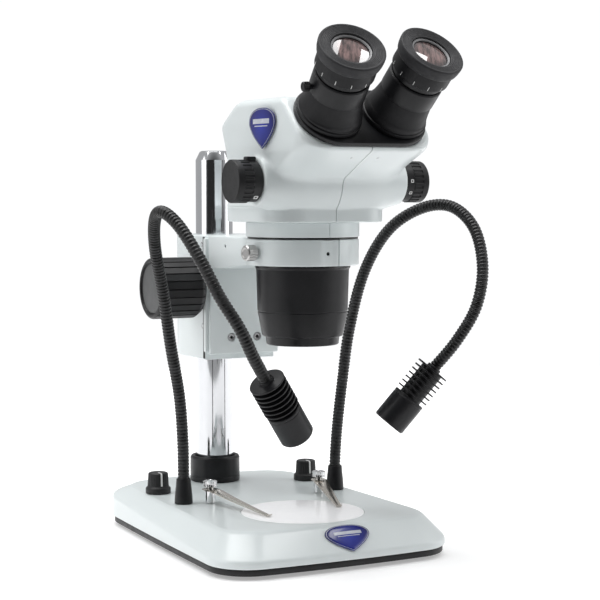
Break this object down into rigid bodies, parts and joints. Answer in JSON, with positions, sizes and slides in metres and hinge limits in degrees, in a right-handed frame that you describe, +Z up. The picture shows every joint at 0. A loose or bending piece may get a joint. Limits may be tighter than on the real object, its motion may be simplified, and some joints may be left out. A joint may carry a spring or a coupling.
{
  "type": "stereo microscope",
  "caption": "Stereo zoom microscope on a pillar stand: inclined binocular head, focus block with side knobs, ring arm, white stage and gooseneck lamps.",
  "frame": {"origin": "centre of the object's bounding box on the table plane", "axes": "+Z up, -Y towards the user's eyepieces, +X to the user's right"},
  "size_m": [0.2652, 0.3713, 0.4028],
  "materials": {
    "white_paint": "satin",
    "black_anodised": "satin",
    "black_plastic": "fine matt",
    "rubber": "matt",
    "chrome": "polished",
    "steel": "brushed",
    "opal": "satin",
    "blue_enamel": "glossy",
    "coated_glass": "coated",
    "circuit_board": "matt"
  },
  "bodies": {
    "stand": {"base_shell": "white_paint", "bottom_plate": "black_anodised", "foot_front_left": "rubber", "foot_front_right": "rubber", "foot_back_left": "rubber", "foot_back_right": "rubber", "pillar": "chrome", "pillar_collar": "black_anodised", "pillar_nut": "steel", "stage_plate": "opal", "base_badge": "blue_enamel", "power_inlet": "black_plastic", "lamp_driver_board": "circuit_board", "clip_screw_left": "chrome", "clip_screw_right": "chrome", "neck_boot_left": "rubber", "neck_boot_right": "rubber"},
    "focus_block": {"focus_housing": "white_paint"},
    "block_clamp": {"block_clamp_knob": "black_plastic"},
    "focus_drive": {"pinion_shaft": "chrome", "focus_knob_left": "black_plastic", "focus_knob_right": "black_plastic"},
    "carriage": {"carriage_plate": "white_paint", "focus_rack": "steel", "ring_arm": "white_paint", "carriage_screw_left": "steel", "carriage_screw_right": "steel"},
    "ring_screw": {"ring_thumbscrew": "chrome"},
    "head": {"head_shell_left": "white_paint", "head_shell_right": "white_paint", "mount_flange": "white_paint", "objective_housing": "black_anodised", "front_lens": "coated_glass", "eyepiece_plate": "black_anodised", "head_badge": "blue_enamel"},
    "zoom_control": {"zoom_shaft": "steel", "zoom_knob_left": "black_plastic", "zoom_knob_right": "black_plastic"},
    "eye_left": {"eye_tube_left": "black_anodised", "eyepiece_left": "black_anodised", "eye_lens_left": "coated_glass", "eyecup_left": "rubber"},
    "diopter_left": {"diopter_ring_left": "black_anodised"},
    "tube_clamp_left": {"tube_screw_left": "black_anodised"},
    "neck_base_left": {"neck_lower_left": "black_anodised"},
    "neck_head_left": {"neck_upper_left": "black_anodised", "lamp_left": "black_anodised"},
    "dimmer_left": {"dimmer_knob_left": "black_plastic"},
    "stage_clip_left": {"clip_leaf_left": "steel"},
    "eye_right": {"eye_tube_right": "black_anodised", "eyepiece_right": "black_anodised", "eye_lens_right": "coated_glass", "eyecup_right": "rubber"},
    "diopter_right": {"diopter_ring_right": "black_anodised"},
    "tube_clamp_right": {"tube_screw_right": "black_anodised"},
    "neck_base_right": {"neck_lower_right": "black_anodised"},
    "neck_head_right": {"neck_upper_right": "black_anodised", "lamp_right": "black_anodised"},
    "dimmer_right": {"dimmer_knob_right": "black_plastic"},
    "stage_clip_right": {"clip_leaf_right": "steel"}
  },
  "joints": [
    {"name": "block_height", "type": "slide", "parent": "stand", "child": "focus_block", "axis": [0, 0, 1], "range_m": [-0.03, 0.07]},
    {"name": "block_clamp_turn", "type": "hinge", "parent": "focus_block", "child": "block_clamp", "pos_m": [0, 0.133, 0.196], "axis": [0, 1, 0], "range_deg": [0, 270]},
    {"name": "focus_travel", "type": "slide", "parent": "focus_block", "child": "carriage", "axis": [0, 0, 1], "range_m": [-0.02, 0.025]},
    {"name": "focus_knob_turn", "type": "hinge", "parent": "focus_block", "child": "focus_drive", "pos_m": [0, 0.0862, 0.205], "axis": [1, 0, 0], "range_deg": [-290, 232]},
    {"name": "ring_screw_turn", "type": "hinge", "parent": "carriage", "child": "ring_screw", "pos_m": [0, -0.032, 0.238], "axis": [-0.9903, -0.1392, 0], "range_deg": [0, 270]},
    {"name": "head_turn", "type": "hinge", "parent": "carriage", "child": "head", "pos_m": [0, -0.032, 0.25], "axis": [0, 0, 1], "range_deg": [-135, 135]},
    {"name": "zoom_turn", "type": "hinge", "parent": "head", "child": "zoom_control", "pos_m": [0, -0.0725, 0.2925], "axis": [1, 0, 0], "range_deg": [-135, 135]},
    {"name": "eye_left_spread", "type": "hinge", "parent": "head", "child": "eye_left", "pos_m": [-0.027, -0.13207, 0.32593], "axis": [0, -0.7071, 0.7071], "range_deg": [-7, 14]},
    {"name": "eye_right_spread", "type": "hinge", "parent": "head", "child": "eye_right", "pos_m": [0.027, -0.13207, 0.32593], "axis": [0, -0.7071, 0.7071], "range_deg": [-14, 7]},
    {"name": "diopter_left_turn", "type": "hinge", "parent": "eye_left", "child": "diopter_left", "pos_m": [-0.03173, -0.15989, 0.37659], "axis": [-0.0872, -0.7044, 0.7044], "range_deg": [-120, 120]},
    {"name": "tube_clamp_left_turn", "type": "hinge", "parent": "eye_left", "child": "tube_clamp_left", "pos_m": [-0.02973, -0.14369, 0.36039], "axis": [-0.9962, 0.0616, -0.0616], "range_deg": [0, 270]},
    {"name": "diopter_right_turn", "type": "hinge", "parent": "eye_right", "child": "diopter_right", "pos_m": [0.03173, -0.15989, 0.37659], "axis": [0.0872, -0.7044, 0.7044], "range_deg": [-120, 120]},
    {"name": "tube_clamp_right_turn", "type": "hinge", "parent": "eye_right", "child": "tube_clamp_right", "pos_m": [0.02973, -0.14369, 0.36039], "axis": [0, 0.7071, 0.7071], "range_deg": [0, 270]},
    {"name": "neck_left_swivel", "type": "hinge", "parent": "stand", "child": "neck_base_left", "pos_m": [-0.07, 0.042, 0.0325], "axis": [0, 0, 1], "range_deg": [-18, 18]},
    {"name": "neck_left_bend", "type": "hinge", "parent": "neck_base_left", "child": "neck_head_left", "pos_m": [-0.1265, -0.05, 0.27], "axis": [0.9179, 0.0228, 0.3963], "range_deg": [-18, 18]},
    {"name": "dimmer_left_turn", "type": "hinge", "parent": "stand", "child": "dimmer_left", "pos_m": [-0.07, 0.095, 0.05], "axis": [0, 0, 1], "range_deg": [-270, 0]},
    {"name": "stage_clip_left_swing", "type": "hinge", "parent": "stand", "child": "stage_clip_left", "pos_m": [-0.05, 0.034, 0.043], "axis": [0, 0, 1], "range_deg": [-45, 18]},
    {"name": "neck_right_swivel", "type": "hinge", "parent": "stand", "child": "neck_base_right", "pos_m": [0.07, 0.042, 0.0325], "axis": [0, 0, 1], "range_deg": [-18, 18]},
    {"name": "neck_right_bend", "type": "hinge", "parent": "neck_base_right", "child": "neck_head_right", "pos_m": [0.108, -0.032, 0.271], "axis": [0.9018, 0.4261, -0.0726], "range_deg": [-18, 18]},
    {"name": "dimmer_right_turn", "type": "hinge", "parent": "stand", "child": "dimmer_right", "pos_m": [0.07, 0.095, 0.05], "axis": [0, 0, 1], "range_deg": [-270, 0]},
    {"name": "stage_clip_right_swing", "type": "hinge", "parent": "stand", "child": "stage_clip_right", "pos_m": [0.05, 0.034, 0.043], "axis": [0, 0, 1], "range_deg": [-18, 45]}
  ],
  "couplings": [
    {"joint": "focus_knob_turn", "follows": "focus_travel", "rad_per_m": -200},
    {"joint": "eye_right_spread", "follows": "eye_left_spread", "ratio": -1}
  ]
}
